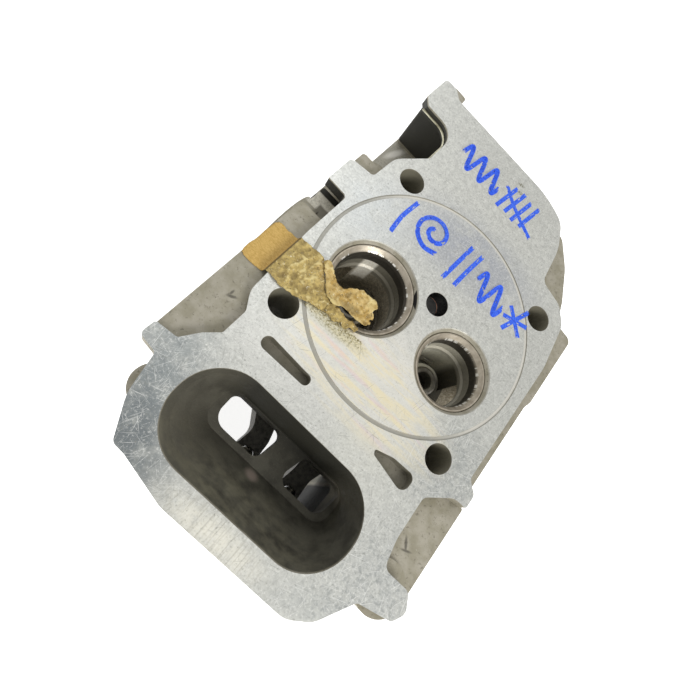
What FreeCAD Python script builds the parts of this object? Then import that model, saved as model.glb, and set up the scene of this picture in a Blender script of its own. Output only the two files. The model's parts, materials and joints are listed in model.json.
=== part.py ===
# Cylinder head of a small air-cooled single-cylinder diesel engine, deck face up.
# Millimetres. Origin: cylinder-bore centre on the deck (head gasket) face.
# +Z points out of the deck towards the cylinder, +Y towards the cooling-air side,
# -Y towards the pushrod side, -X is the intake side and +X the exhaust side.
# The head rests on its rocker-cover flange, at z = -HEIGHT.
import FreeCAD, Part
import math
import os

V = FreeCAD.Vector

# ---- driving dimensions ----------------------------------------------------
HEIGHT = 90.0              # deck face to rocker-cover flange
PLATE_T = 5.0              # deck plate outside the fire deck
FIRE_DECK_T = 12.0         # deck over the combustion chamber
FIRE_DECK_R = 48.0
RING_R = 45.0              # middle of the mark left by the gasket's fire ring
RING_W = 1.3
RING_DEPTH = 0.3

BOLT_HALF = 36.65          # half the spacing of the head-bolt square
BOLT_R = 5.25              # clearance hole for an M10 head bolt
BOLT_CORE_R = 6.0          # cored relief in the middle of each bolt hole
BOLT_BOSS_R = 9.5

LEDGE_Z = -2.7             # cast ledge beside the deck, intake side
STEP_Z = -9.3              # lower end of that ledge
RECESS_Z = -6.0            # cast recess on the exhaust side
SHOULDER_Z = -8.0          # shoulder around the exhaust-side corner
SIDE_X = 58.0              # half width of the cast body
PLATE_LOW = -46.0          # lower plate: the floor of the rocker box
PLATE_HIGH = -40.0
FIN_T = 2.2
FIN_TOPS = (-15.5, -21.3, -27.1, -32.9)
FIN_X = (-56.5, 54.0)      # from the intake side to the exhaust side

VALVE_Y = -8.6
IN_X = -19.3               # intake valve axis
EX_X = 21.9                # exhaust valve axis
IN_SEAT_R = 17.0           # outer radius of the pressed-in seat rings
EX_SEAT_R = 14.8
IN_THROAT_R = 14.1
EX_THROAT_R = 12.2
SEAT_TOP = -1.3            # the rings stand this far below the deck
SEAT_LOW = -8.0
MOUTH_WIDEN = 1.2          # bevelled relief around each ring, at the deck
PORT_Z = -25.0             # axis of both ports
IN_PORT_R = 13.0
EX_PORT_R = 11.5
PORT_WALL = 4.5
IN_FLANGE_X = -59.5
EX_FLANGE_X = 55.5
FLANGE_T = 7.0
PORT_BOLT_Y = 26.0         # port-flange bolt holes, either side of the port
PORT_BOLT_R = 3.4          # tapping size of an M8 thread
PORT_BOLT_DEPTH = 16.0

GUIDE_R = 5.75
GUIDE_BORE_R = 3.5         # 7 mm valve stem
GUIDE_TOP = -20.5
GUIDE_LOW = -54.0
SEAL_LOW = -57.0
SPRING_SEAT_R = 13.0
SPRING_SEAT_T = 1.2

INJ_X = 1.8
INJ_Y = 6.1
INJ_TILT = 18.0            # degrees, the injector leans towards +Y
NOZZLE_R = 4.5
NOZZLE_L = 13.0            # depth of the nozzle hole below the deck
POCKET_R = 8.75
INJ_WASHER_R = 8.45
INJ_WASHER_T = 1.5
INJ_BOSS_R = 12.5
INJ_BOSS_L = 62.0          # boss length along the tilted axis
INJ_STUD_X = 17.5
INJ_STUD_R = 3.0
INJ_STUD_CORE_R = 2.5      # the end screwed into the boss, at tapping size
INJ_STUD_IN = 13.5
INJ_STUD_OUT = 22.0

CHAMBER_Z = -28.0          # floor of the pushrod chamber
CHAMBER_FLOOR_T = 4.0
BOX_WALL = 4.5
FLANGE_LIP = 3.5
FLANGE_LIP_T = 6.0
COVER_BOLTS = ((37.0, -68.0), (44.5, -6.0))   # each also at -x
COVER_BOLT_R = 2.5         # tapping size of an M6 thread
COVER_BOSS_R = 7.0

COWL_BOLT_X = (-33.0, 10.0)  # cooling-cowl screws in the end wall
COWL_BOLT_Z = -26.0
COWL_BOLT_R = 2.5
COWL_FACE_Y = 89.0
VANE_X = (-25.0, 0.0)      # air-guide vanes behind the end wall
VANE_T = 3.0
END_RIB_X = (-54.0, -44.0, -11.5)

SHAFT_Y = -39.0
SHAFT_Z = -68.0
SHAFT_R = 6.0
SHAFT_X = (-26.5, 31.0)
SHAFT_PLAY = 0.03          # running clearance of the rocker bushes
NUT_TOP = SHAFT_Z - 5.0    # the adjuster's locknut bears on the arm here
PAD_R = 4.0                # rounded pad that presses on the valve stem
BUSH_R = 7.5
HUB_R = 10.0
HUB_W = 14.0
IN_HUB_X = -13.5
EX_HUB_X = 20.0
IN_PUSHROD_X = -6.0
EX_PUSHROD_X = 18.4
PUSHROD_Y = -70.0
TAPPET_R = 3.0             # adjuster screw, M6
TAPPET_NUT = 10.0          # across flats
EYE_R = 5.8                # end of the arm, around the adjuster
WASHER_R = 8.8
WASHER_T = 1.2
GAP = 0.3                  # side play between neighbouring pieces on the shaft

PED_X = (IN_HUB_X + HUB_W / 2 + WASHER_T + 2 * GAP, EX_HUB_X - HUB_W / 2 - WASHER_T - 2 * GAP)
PED_MID = 3.0
PED_BOLT_DY = 13.0
PED_BOLT_R = 2.5           # M5 socket-head screws
PED_BOLT_HEAD_R = 4.25
PED_BOLT_HEAD = 5.0
PED_WASHER_R = 4.7
PED_WASHER_T = 1.0
PED_HALF_Y = 17.5
PED_BASE_TOP = PLATE_LOW - 9.0
PED_HEAD_R = 10.0          # around the shaft
LOCK_SCREW_R = 2.5
IN_CLIP_X = IN_HUB_X - HUB_W / 2 - WASHER_T - 2 * GAP - 1.1
EX_CLIP_X = EX_HUB_X + HUB_W / 2 + WASHER_T + 2 * GAP + 0.1

PLUG_Z = -62.0             # oil-feed plug, on the exhaust side of the rocker box
PLUG_R = 4.0

TAPE_T = 0.8               # crumpled masking tape, and where it is folded on itself
TAPE_FOLD_T = 1.2


# ---- small helpers ---------------------------------------------------------
def rounded_wire(corners, z=0.0):
    """Closed wire through corners (x, y, radius), each rounded by a tangent arc."""
    count = len(corners)
    starts, middles, ends = [], [], []
    for i, (x, y, radius) in enumerate(corners):
        here = V(x, y, z)
        back = V(corners[i - 1][0], corners[i - 1][1], z) - here
        ahead = V(corners[(i + 1) % count][0], corners[(i + 1) % count][1], z) - here
        back.normalize()
        ahead.normalize()
        half = back.getAngle(ahead) / 2
        cut = radius / math.tan(half)
        bisector = back + ahead
        bisector.normalize()
        starts.append(here + back * cut)
        ends.append(here + ahead * cut)
        middles.append(here + bisector * (radius / math.sin(half) - radius))
    edges = []
    for i in range(count):
        if corners[i][2] > 0:
            edges.append(Part.Arc(starts[i], middles[i], ends[i]).toShape())
        following = starts[(i + 1) % count]
        if ends[i].distanceToPoint(following) > 1e-6:
            edges.append(Part.LineSegment(ends[i], following).toShape())
    return Part.Wire(edges)


def slab(corners, low, high):
    """Rounded outline extruded from z = low to z = high."""
    return Part.Face(rounded_wire(corners, low)).extrude(V(0, 0, high - low))


def rectangle(x0, x1, y0, y1, radius):
    return [(x0, y0, radius), (x1, y0, radius), (x1, y1, radius), (x0, y1, radius)]


def post(radius, x, y, low, high):
    """Upright cylinder."""
    return Part.makeCylinder(radius, high - low, V(x, y, low))


def rod(radius, x0, x1, y, z):
    """Cylinder along X."""
    return Part.makeCylinder(radius, x1 - x0, V(x0, y, z), V(1, 0, 0))


def cone(r_low, r_high, x, y, low, high):
    return Part.makeCone(r_low, r_high, high - low, V(x, y, low))


def turned(profile, x, y):
    """Solid of revolution about the upright axis at x, y; profile is (radius, z)."""
    points = [V(x + r, y, z) for r, z in profile]
    face = Part.Face(Part.makePolygon(points + [points[0]]))
    return face.revolve(V(x, y, 0), V(0, 0, 1), 360)


def turned_along_x(profile, y, z):
    """Solid of revolution about an axis along X; profile is (x, radius)."""
    points = [V(x, y, z + r) for x, r in profile]
    face = Part.Face(Part.makePolygon(points + [points[0]]))
    return face.revolve(V(0, y, z), V(1, 0, 0), 360)


def hexagon(across_flats, x, y, low, high):
    radius = across_flats / math.sqrt(3)
    points = []
    for i in range(7):
        turn = math.radians(60 * i)
        points.append(V(x + radius * math.cos(turn), y + radius * math.sin(turn), low))
    return Part.Face(Part.makePolygon(points)).extrude(V(0, 0, high - low))


def tilted(shape):
    """Leans a shape built along the upright through the nozzle hole by INJ_TILT."""
    leaning = shape.copy()
    leaning.rotate(V(INJ_X, INJ_Y, 0), V(1, 0, 0), INJ_TILT)
    return leaning


def join(shapes):
    """One solid from overlapping ones, fused one at a time."""
    whole = shapes[0]
    for shape in shapes[1:]:
        whole = whole.fuse(shape)
    return whole


def carve(whole, hollows):
    """The solid left after every hollow is cut from it, one at a time."""
    for hollow in hollows:
        whole = whole.cut(hollow)
    return whole


def save(name, shape):
    shape.exportStep("parts/%s.step" % name)
    solids = shape.Solids
    box = shape.BoundBox
    print("%-26s solids %d valid %s volume %9.1f  x %.1f..%.1f y %.1f..%.1f z %.1f..%.1f" % (
        name, len(solids), shape.isValid(), shape.Volume,
        box.XMin, box.XMax, box.YMin, box.YMax, box.ZMin, box.ZMax))


# ---- outlines of the head casting ------------------------------------------
# The machined deck, starting at the cooling-air side's intake corner.
DECK = [
    (-57.3, 88.0, 2.0), (-51.5, 88.0, 1.0), (-47.5, 84.8, 2.0), (8.0, 86.4, 40.0),
    (20.2, 82.0, 9.0), (26.3, 70.0, 25.0), (29.0, 51.8, 4.0), (40.5, 49.6, 6.0),
    (46.8, 43.5, 8.0), (50.3, 22.0, 25.0), (50.3, -33.5, 3.0), (54.9, -36.8, 2.5),
    (54.9, -42.5, 0.8), (49.5, -42.5, 6.0), (40.2, -50.0, 3.0), (40.8, -66.0, 15.0),
    (43.0, -75.3, 3.0), (54.0, -75.3, 3.0), (57.2, -80.8, 3.0), (54.5, -85.4, 3.0),
    (42.0, -88.0, 2.0), (34.5, -100.0, 8.0), (27.0, -104.4, 9.0), (-20.0, -104.4, 12.0),
    (-37.0, -100.7, 4.0), (-41.3, -100.5, 2.5), (-48.4, -89.0, 15.0),
    (-51.7, -75.6, 1.5), (-58.7, -74.7, 1.8), (-58.4, -69.0, 1.0), (-50.8, -68.2, 1.5),
    (-47.0, -62.0, 4.0), (-42.9, -57.6, 1.5), (-42.9, -47.5, 3.0), (-46.8, -41.5, 8.0),
    (-48.6, -12.0, 30.0), (-48.6, 9.8, 1.8), (-57.8, 9.9, 0.5), (-57.8, 23.0, 2.0),
    (-47.8, 24.8, 1.8), (-47.2, 38.0, 10.0), (-38.3, 51.0, 3.0), (-38.3, 69.7, 8.0),
    (-54.0, 69.7, 2.5), (-57.3, 73.2, 1.0),
]
LEDGE = [(-58.4, -72.0, 1.0), (-58.4, -3.0, 2.0), (-40.0, -3.0, 1.0), (-40.0, -72.0, 1.0)]
LEDGE_STEP = [(-57.8, -6.0, 1.0), (-57.8, 12.0, 1.0), (-44.0, 12.0, 1.0), (-44.0, -6.0, 1.0)]
INTAKE_LUG = [(-57.0, 20.0, 1.0), (-57.0, 31.8, 1.5), (-44.0, 31.8, 1.5), (-44.0, 20.0, 1.0)]
END_LUG = [(-53.0, 80.0, 1.0), (-53.0, 90.4, 1.5), (-46.0, 90.4, 1.5), (-46.0, 80.0, 1.0)]
RECESS = [(38.0, -78.0, 1.0), (57.4, -78.0, 2.0), (57.4, -41.0, 1.0), (38.0, -41.0, 1.0)]
SHOULDER = [
    (30.0, -44.0, 1.0), (56.8, -44.0, 1.0), (56.8, 8.0, 2.0), (57.9, 12.0, 2.0),
    (57.9, 48.6, 3.0), (48.8, 49.4, 3.0), (44.8, 60.0, 8.0), (37.0, 74.5, 20.0),
    (27.5, 85.6, 5.0), (10.0, 86.5, 5.0), (10.0, 30.0, 1.0),
]
END_WALL = [
    (-57.9, 87.0, 1.0), (9.0, 87.0, 25.0), (27.0, 85.0, 8.0), (36.4, 74.4, 20.0),
    (44.4, 59.6, 8.0), (48.4, 48.8, 1.0), (44.4, 47.0, 1.0), (40.6, 57.4, 8.0),
    (33.0, 72.0, 16.0), (25.2, 81.0, 4.0), (8.6, 83.0, 21.0), (-57.9, 83.0, 1.0),
]
LOWER_PLATE = [
    (-58.0, 87.0, 2.0), (9.0, 87.0, 25.0), (27.0, 85.0, 8.0), (36.4, 74.4, 20.0),
    (44.4, 59.6, 8.0), (48.4, 50.0, 3.0), (57.8, 46.0, 5.0), (57.8, -46.0, 8.0),
    (34.0, -62.0, 4.0), (-35.0, -62.0, 4.0), (-58.0, -46.0, 8.0),
]
INTAKE_WINDOW = [(-26.8, -61.2, 3.0), (-3.8, -61.2, 3.0), (-5.6, -74.0, 4.0), (-26.5, -74.0, 5.5)]
EXHAUST_WINDOW = [(7.4, -61.2, 3.0), (26.2, -61.2, 3.0), (24.4, -74.0, 4.5), (4.2, -74.0, 4.0)]
LONG_POCKET = [(-33.3, -47.3, 2.4), (-13.0, -47.9, 1.9), (-13.0, -51.8, 1.9), (-33.3, -52.4, 2.4)]
DROP_POCKET = [
    (17.0, -49.9, 0.8), (24.0, -47.6, 8.0), (34.0, -47.0, 2.6), (33.7, -54.6, 3.0),
    (18.0, -51.6, 1.0),
]
POCKET_DEPTH = 4.1
AIR_OUTLET = rectangle(30.0, 60.0, 50.5, 68.5, 1.0)    # through the end wall
AIR_OUTLET_Z = (-36.0, -16.0)
# Sections of the pushrod chamber and of the wall around it: z, x0, x1, y0, y1, corner radius.
CHAMBER = (
    (0.0, -40.5, 30.7, -95.1, -60.9, 16.6), (-9.0, -38.6, 29.8, -90.6, -60.7, 14.4),
    (-19.0, -34.6, 28.4, -84.0, -60.6, 10.6), (CHAMBER_Z, -29.5, 27.5, -76.5, -60.5, 6.0),
)
CHAMBER_SKIRT = (-4.0, -46.5, 36.0, -100.5, -50.0, 17.0)
CHAMBER_FOOT = (-34.0, -35.0, 32.5, -82.0, -50.0, 8.0)
# The rocker box is three joined rooms: around the pushrods, across the shaft
# and the two head nuts beside it, and around the valve springs.
PUSHROD_ROOM = rectangle(-29.5, 27.5, -77.5, -20.0, 5.0)
BAY = rectangle(-46.5, 46.5, -48.5, -25.0, 6.0)
VALVE_ROOM = rectangle(-34.5, 36.5, -40.0, 7.0, 7.0)
ROOMS = (PUSHROD_ROOM, BAY, VALVE_ROOM)
UNDER_CHAMBER = rectangle(-29.5, 27.5, -77.5, -57.5, 5.0)


def grown(corners, amount):
    """A rectangle's corners, moved outwards by amount and rounded to match."""
    xs = [c[0] for c in corners]
    ys = [c[1] for c in corners]
    return rectangle(min(xs) - amount, max(xs) + amount, min(ys) - amount,
                     max(ys) + amount, corners[0][2] + amount)


def funnel(sections):
    """Solid through rounded rectangles; each section is (z, x0, x1, y0, y1, radius)."""
    wires = [rounded_wire(rectangle(*section[1:]), section[0]) for section in sections]
    return Part.makeLoft(wires, True, True)


def port_voids(x, throat_r, port_r, end_x, side):
    """Throat with the guide's boss standing in its roof, and the passage to the side."""
    roof = PORT_Z - port_r + 0.5
    boss_top = GUIDE_TOP - 1.6
    throat = turned([(0, SEAT_LOW), (throat_r, SEAT_LOW), (throat_r, SEAT_LOW - 4),
                     (throat_r - 0.8, SEAT_LOW - 4.8), (throat_r - 0.8, roof + 6),
                     (throat_r - 3.0, roof), (9.0, roof), (7.2, boss_top), (0, boss_top)],
                    x, VALVE_Y)
    start = x + side * 9.8
    return [throat, rod(port_r, min(start, end_x), max(start, end_x), VALVE_Y, PORT_Z)]


def port_body(x, port_r, flange_x, side):
    """Cast duct around a port, with its two-bolt flange; side is -1 or +1."""
    inner = flange_x - side * FLANGE_T
    duct = rod(port_r + PORT_WALL, min(x, flange_x), max(x, flange_x), VALVE_Y, PORT_Z)
    low, high = min(inner, flange_x), max(inner, flange_x)
    pieces = [duct, rod(port_r + 6.5, low, high, VALVE_Y, PORT_Z)]
    for way in (-1, 1):
        pieces.append(rod(8.0, low, high, VALVE_Y + way * PORT_BOLT_Y, PORT_Z))
    pieces.append(Part.makeBox(high - low, 2 * PORT_BOLT_Y, 16,
                               V(low, VALVE_Y - PORT_BOLT_Y, PORT_Z - 8)))
    return pieces


def head_casting():
    bolt_places = [(sx * BOLT_HALF, sy * BOLT_HALF) for sx in (-1, 1) for sy in (-1, 1)]
    cover_places = [(side * x, y) for x, y in COVER_BOLTS for side in (-1, 1)]
    valves = ((IN_X, IN_SEAT_R, IN_THROAT_R, IN_PORT_R, IN_FLANGE_X, -1),
              (EX_X, EX_SEAT_R, EX_THROAT_R, EX_PORT_R, EX_FLANGE_X, 1))

    # metal
    solid = [
        slab(DECK, -PLATE_T, 0),
        post(FIRE_DECK_R, 0, 0, -FIRE_DECK_T, -PLATE_T + 1),
        slab(LEDGE, -9, LEDGE_Z),
        slab(LEDGE_STEP, -14, STEP_Z),
        slab(INTAKE_LUG, -12, -3.2),
        slab(END_LUG, -12, -1.6),
        slab(RECESS, -12, RECESS_Z),
        slab(SHOULDER, -12, SHOULDER_Z),
        slab(END_WALL, PLATE_LOW, SHOULDER_Z),
        slab(LOWER_PLATE, PLATE_LOW, PLATE_HIGH),
        post(7.4, -45.0, -82.5, -30, -4.5),
        cone(7.0, 9.2, 47.6, -79.6, -24, -PLATE_T + 0.5),
    ]
    for top in FIN_TOPS:
        solid.append(slab(rectangle(*FIN_X, -50.0, 44.0, 7.0), top - FIN_T, top))
    for x, y in bolt_places:
        solid.append(post(BOLT_BOSS_R, x, y, PLATE_LOW - 2, -PLATE_T + 1))
    for x, seat_r, throat_r, port_r, flange_x, side in valves:
        solid.append(post(seat_r + 3.0, x, VALVE_Y, PORT_Z, -PLATE_T + 1))
        solid.append(post(10.5, x, VALVE_Y, PLATE_LOW + 1, PORT_Z))
        solid.extend(port_body(x, port_r, flange_x, side))
    solid.append(funnel([CHAMBER_SKIRT, CHAMBER_FOOT]))
    solid.append(slab(rectangle(*CHAMBER_FOOT[1:]), PLATE_LOW, CHAMBER_FOOT[0] + 1))
    for room in ROOMS:
        solid.append(slab(grown(room, BOX_WALL), -HEIGHT, PLATE_HIGH))
        solid.append(slab(grown(room, BOX_WALL + FLANGE_LIP), -HEIGHT,
                          -HEIGHT + FLANGE_LIP_T))
    for x, y in cover_places:
        solid.append(post(COVER_BOSS_R, x, y, -HEIGHT, PLATE_LOW + 1))
    solid.append(tilted(post(INJ_BOSS_R, INJ_X, INJ_Y, -INJ_BOSS_L, -8)))
    solid.append(tilted(slab(rectangle(INJ_X - INJ_STUD_X, INJ_X + INJ_STUD_X,
                                       INJ_Y - 5, INJ_Y + 5, 1.0), -INJ_BOSS_L, -44)))
    for side in (-1, 1):
        solid.append(tilted(post(6.0, INJ_X + side * INJ_STUD_X, INJ_Y, -INJ_BOSS_L, -42)))
    for x in VANE_X:
        solid.append(Part.makeBox(VANE_T, 46, 34, V(x - VANE_T / 2, 40, PLATE_HIGH - 2)))
        solid.append(Part.makeBox(VANE_T, 52, 5, V(x - VANE_T / 2, 34, PLATE_LOW - 4)))
    for x in COWL_BOLT_X:
        solid.append(Part.makeCylinder(6.5, COWL_FACE_Y - 72, V(x, COWL_FACE_Y, COWL_BOLT_Z),
                                       V(0, -1, 0)))
    for x in END_RIB_X:
        solid.append(Part.makeBox(3, 3, 38, V(x - 1.5, 85.8, PLATE_LOW)))
    body = join(solid)

    # hollows
    hollow = [
        funnel(CHAMBER),
        slab(INTAKE_WINDOW, CHAMBER_Z - 8, CHAMBER_Z + 1),
        slab(EXHAUST_WINDOW, CHAMBER_Z - 8, CHAMBER_Z + 1),
        slab(UNDER_CHAMBER, PLATE_LOW - 6, CHAMBER_Z - CHAMBER_FLOOR_T),
        slab(AIR_OUTLET, *AIR_OUTLET_Z),
        slab(LONG_POCKET, -POCKET_DEPTH, 0),
        slab(DROP_POCKET, -POCKET_DEPTH, 0),
        post(RING_R + RING_W / 2, 0, 0, -RING_DEPTH, 0).cut(
            post(RING_R - RING_W / 2, 0, 0, -RING_DEPTH, 0)),
        tilted(post(NOZZLE_R, INJ_X, INJ_Y, -NOZZLE_L - 1, 4)),
        tilted(post(INJ_WASHER_R, INJ_X, INJ_Y, -NOZZLE_L - INJ_WASHER_T, -NOZZLE_L)),
        tilted(post(POCKET_R, INJ_X, INJ_Y, -INJ_BOSS_L - 1, -NOZZLE_L - INJ_WASHER_T)),
        rod(PLUG_R, 40, 60, SHAFT_Y, PLUG_Z),
    ]
    for x, seat_r, throat_r, port_r, flange_x, side in valves:
        hollow.extend(port_voids(x, throat_r, port_r, flange_x, side))
        hollow.append(post(seat_r, x, VALVE_Y, SEAT_LOW, 0))
        hollow.append(cone(seat_r, seat_r + MOUTH_WIDEN, x, VALVE_Y, SEAT_TOP, 0))
        hollow.append(post(GUIDE_R, x, VALVE_Y, PLATE_LOW - 1, GUIDE_TOP))
        hollow.append(post(SPRING_SEAT_R, x, VALVE_Y, PLATE_LOW - 1, PLATE_LOW + 1))
        for way in (-1, 1):
            inner = flange_x - side * PORT_BOLT_DEPTH
            hollow.append(rod(PORT_BOLT_R, min(inner, flange_x), max(inner, flange_x),
                              VALVE_Y + way * PORT_BOLT_Y, PORT_Z))
    for x, y in bolt_places:
        hollow.append(post(BOLT_R, x, y, PLATE_LOW - 3, 0))
        hollow.append(post(BOLT_CORE_R, x, y, -36, -20))
    for room in ROOMS:
        hollow.append(slab(room, -HEIGHT, PLATE_LOW))
    for x, y in cover_places:
        hollow.append(post(COVER_BOLT_R, x, y, -HEIGHT, -HEIGHT + 16))
    for x in COWL_BOLT_X:
        hollow.append(Part.makeCylinder(COWL_BOLT_R, 14, V(x, COWL_FACE_Y, COWL_BOLT_Z),
                                        V(0, -1, 0)))
    for side in (-1, 1):
        hollow.append(tilted(post(INJ_STUD_CORE_R, INJ_X + side * INJ_STUD_X, INJ_Y,
                                  -INJ_BOSS_L, -INJ_BOSS_L + INJ_STUD_IN + 0.5)))
        hollow.append(post(PED_BOLT_R, PED_MID, SHAFT_Y + side * PED_BOLT_DY,
                           PLATE_LOW, PLATE_HIGH))
    return carve(body, hollow)


# ---- valve seats, guides and seals -----------------------------------------
def seat_ring(x, seat_r, throat_r):
    face_r = seat_r - 0.9
    return turned([(seat_r, SEAT_LOW), (seat_r, SEAT_TOP - 0.5), (seat_r - 0.5, SEAT_TOP),
                   (face_r, SEAT_TOP), (throat_r + 0.5, SEAT_TOP - 1.6),
                   (throat_r, SEAT_TOP - 2.8), (throat_r, SEAT_LOW)], x, VALVE_Y)


def valve_guide(x):
    return turned([(GUIDE_BORE_R, GUIDE_LOW), (GUIDE_R - 0.9, GUIDE_LOW),
                   (GUIDE_R, GUIDE_LOW + 1.5), (GUIDE_R, GUIDE_TOP - 0.8),
                   (GUIDE_R - 0.8, GUIDE_TOP), (GUIDE_BORE_R + 0.5, GUIDE_TOP),
                   (GUIDE_BORE_R, GUIDE_TOP - 0.5)], x, VALVE_Y)


def stem_seal(x):
    outer = GUIDE_R + 1.6
    return turned([(GUIDE_R, -50.0), (outer, -50.0), (outer, -54.6), (outer - 1.4, -55.4),
                   (outer - 1.4, SEAL_LOW), (GUIDE_BORE_R, SEAL_LOW),
                   (GUIDE_BORE_R, GUIDE_LOW), (GUIDE_R - 0.9, GUIDE_LOW),
                   (GUIDE_R, GUIDE_LOW + 1.5)], x, VALVE_Y)


def seal_springs():
    radius = GUIDE_R + 0.2
    rings = [Part.makeTorus(radius + 0.5, 0.5, V(x, VALVE_Y, -56.2)) for x in (IN_X, EX_X)]
    return Part.makeCompound(rings)


def spring_seat(x):
    floor = PLATE_LOW + 1
    return turned([(GUIDE_R + 0.4, floor), (SPRING_SEAT_R - 0.2, floor),
                   (SPRING_SEAT_R - 0.2, floor - SPRING_SEAT_T),
                   (8.6, floor - SPRING_SEAT_T), (8.6, floor - SPRING_SEAT_T - 1.6),
                   (GUIDE_R + 0.4, floor - SPRING_SEAT_T - 1.6)], x, VALVE_Y)


def guide_rings():
    """Locating clips that stop each guide from sinking into its bore."""
    low = PLATE_LOW + 1 - SPRING_SEAT_T - 2.8
    rings = []
    for x in (IN_X, EX_X):
        ring = turned([(GUIDE_R, low), (GUIDE_R + 1.3, low), (GUIDE_R + 1.3, low + 1.1),
                       (GUIDE_R, low + 1.1)], x, VALVE_Y)
        rings.append(ring.cut(Part.makeBox(10, 2.4, 4, V(x, VALVE_Y - 1.2, low - 1))))
    return Part.makeCompound(rings)


# ---- injector seat and studs -----------------------------------------------
def injector_washer():
    top, low = -NOZZLE_L, -NOZZLE_L - INJ_WASHER_T
    hole_r, outer_r = NOZZLE_R + 0.2, INJ_WASHER_R - 0.05
    return tilted(turned([(hole_r, top), (outer_r, top), (outer_r, low), (hole_r, low)],
                         INJ_X, INJ_Y))


def injector_studs():
    studs = []
    top = -INJ_BOSS_L + INJ_STUD_IN
    low = -INJ_BOSS_L - INJ_STUD_OUT
    for side in (-1, 1):
        profile = [(0, top), (INJ_STUD_CORE_R, top), (INJ_STUD_CORE_R, -INJ_BOSS_L),
                   (INJ_STUD_R, -INJ_BOSS_L), (INJ_STUD_R, low + 0.8),
                   (INJ_STUD_R - 0.8, low), (0, low)]
        studs.append(tilted(turned(profile, INJ_X + side * INJ_STUD_X, INJ_Y)))
    return Part.makeCompound(studs)


# ---- oil-feed plug ---------------------------------------------------------
def oil_plug():
    face = 46.5 + BOX_WALL
    head = hexagon(13.0, 0, 0, 0, 6.0)
    head.rotate(V(0, 0, 0), V(0, 1, 0), 90)
    head.translate(V(face + 1.5, SHAFT_Y, PLUG_Z))
    return join([rod(PLUG_R, 46.0, face + 1.6, SHAFT_Y, PLUG_Z), head])


def plug_washer():
    face = 46.5 + BOX_WALL
    return rod(7.5, face, face + 1.5, SHAFT_Y, PLUG_Z).cut(
        rod(PLUG_R, face - 1, face + 3, SHAFT_Y, PLUG_Z))


# ---- rocker gear -----------------------------------------------------------
def pedestal_bolt_places():
    return [(PED_MID, SHAFT_Y + way * PED_BOLT_DY) for way in (-1, 1)]


def rocker_pedestal():
    x0, x1 = PED_X
    base = slab(rectangle(x0, x1, SHAFT_Y - PED_HALF_Y, SHAFT_Y + PED_HALF_Y, 3.0),
                PED_BASE_TOP, PLATE_LOW)
    foot, neck = PED_HEAD_R + 2.5, PED_HEAD_R - 0.4
    side = [V(x0, SHAFT_Y - foot, PED_BASE_TOP + 1), V(x0, SHAFT_Y + foot, PED_BASE_TOP + 1),
            V(x0, SHAFT_Y + neck, SHAFT_Z - 1), V(x0, SHAFT_Y - neck, SHAFT_Z - 1)]
    web = Part.Face(Part.makePolygon(side + [side[0]])).extrude(V(x1 - x0, 0, 0))
    holes = [rod(SHAFT_R, x0 - 1, x1 + 1, SHAFT_Y, SHAFT_Z),
             post(LOCK_SCREW_R, PED_MID, SHAFT_Y, SHAFT_Z - 12, SHAFT_Z)]
    for x, y in pedestal_bolt_places():
        holes.append(post(PED_BOLT_R + 0.2, x, y, PED_BASE_TOP - 1, PLATE_LOW))
        holes.append(post(PED_WASHER_R + 0.3, x, y, -HEIGHT, PED_BASE_TOP))
    return carve(join([base, web, rod(PED_HEAD_R, x0, x1, SHAFT_Y, SHAFT_Z)]), holes)


def pedestal_bolts():
    """Socket-head screws, heads down."""
    bolts = []
    top = PED_BASE_TOP - PED_WASHER_T
    low = top - PED_BOLT_HEAD
    for x, y in pedestal_bolt_places():
        bolt = turned([(0, low), (PED_BOLT_HEAD_R - 0.4, low), (PED_BOLT_HEAD_R, low + 0.4),
                       (PED_BOLT_HEAD_R, top), (PED_BOLT_R, top), (PED_BOLT_R, PLATE_HIGH - 1),
                       (PED_BOLT_R - 0.6, PLATE_HIGH), (0, PLATE_HIGH)], x, y)
        bolts.append(bolt.cut(hexagon(4.0, x, y, low - 1, low + 2.5)))
    return Part.makeCompound(bolts)


def pedestal_washers():
    washers = []
    for x, y in pedestal_bolt_places():
        disc = post(PED_WASHER_R, x, y, PED_BASE_TOP - PED_WASHER_T, PED_BASE_TOP)
        washers.append(disc.cut(post(PED_BOLT_R + 0.1, x, y, PED_BASE_TOP - 2, PED_BASE_TOP + 1)))
    return Part.makeCompound(washers)


def rocker_shaft():
    x0, x1 = SHAFT_X
    profile = [(x0, 0), (x0, SHAFT_R - 0.8), (x0 + 0.8, SHAFT_R)]
    for groove in (IN_CLIP_X, EX_CLIP_X):
        profile += [(groove, SHAFT_R), (groove, SHAFT_R - 0.8), (groove + 1.0, SHAFT_R - 0.8),
                    (groove + 1.0, SHAFT_R)]
    profile += [(x1 - 0.8, SHAFT_R), (x1, SHAFT_R - 0.8), (x1, 0)]
    shaft = turned_along_x(profile, SHAFT_Y, SHAFT_Z)
    seat = post(LOCK_SCREW_R, PED_MID, SHAFT_Y, SHAFT_Z - 12, SHAFT_Z - 3)
    return shaft.cut(seat)


def shaft_clips():
    clips = []
    for x in (IN_CLIP_X, EX_CLIP_X):
        clip = rod(SHAFT_R + 2.6, x, x + 1.0, SHAFT_Y, SHAFT_Z).cut(
            [rod(SHAFT_R - 0.8, x - 1, x + 2, SHAFT_Y, SHAFT_Z),
             Part.makeBox(3, 7.0, 12, V(x - 1, SHAFT_Y - 3.5, SHAFT_Z - 12))])
        clips.append(clip)
    return Part.makeCompound(clips)


def shaft_washers():
    washers = []
    starts = (IN_CLIP_X + 1.0 + 0.05, PED_X[0] - WASHER_T, PED_X[1], EX_CLIP_X - WASHER_T - 0.05)
    for x in starts:
        washers.append(rod(WASHER_R, x, x + WASHER_T, SHAFT_Y, SHAFT_Z).cut(
            rod(SHAFT_R, x - 1, x + 3, SHAFT_Y, SHAFT_Z)))
    return Part.makeCompound(washers)


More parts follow.
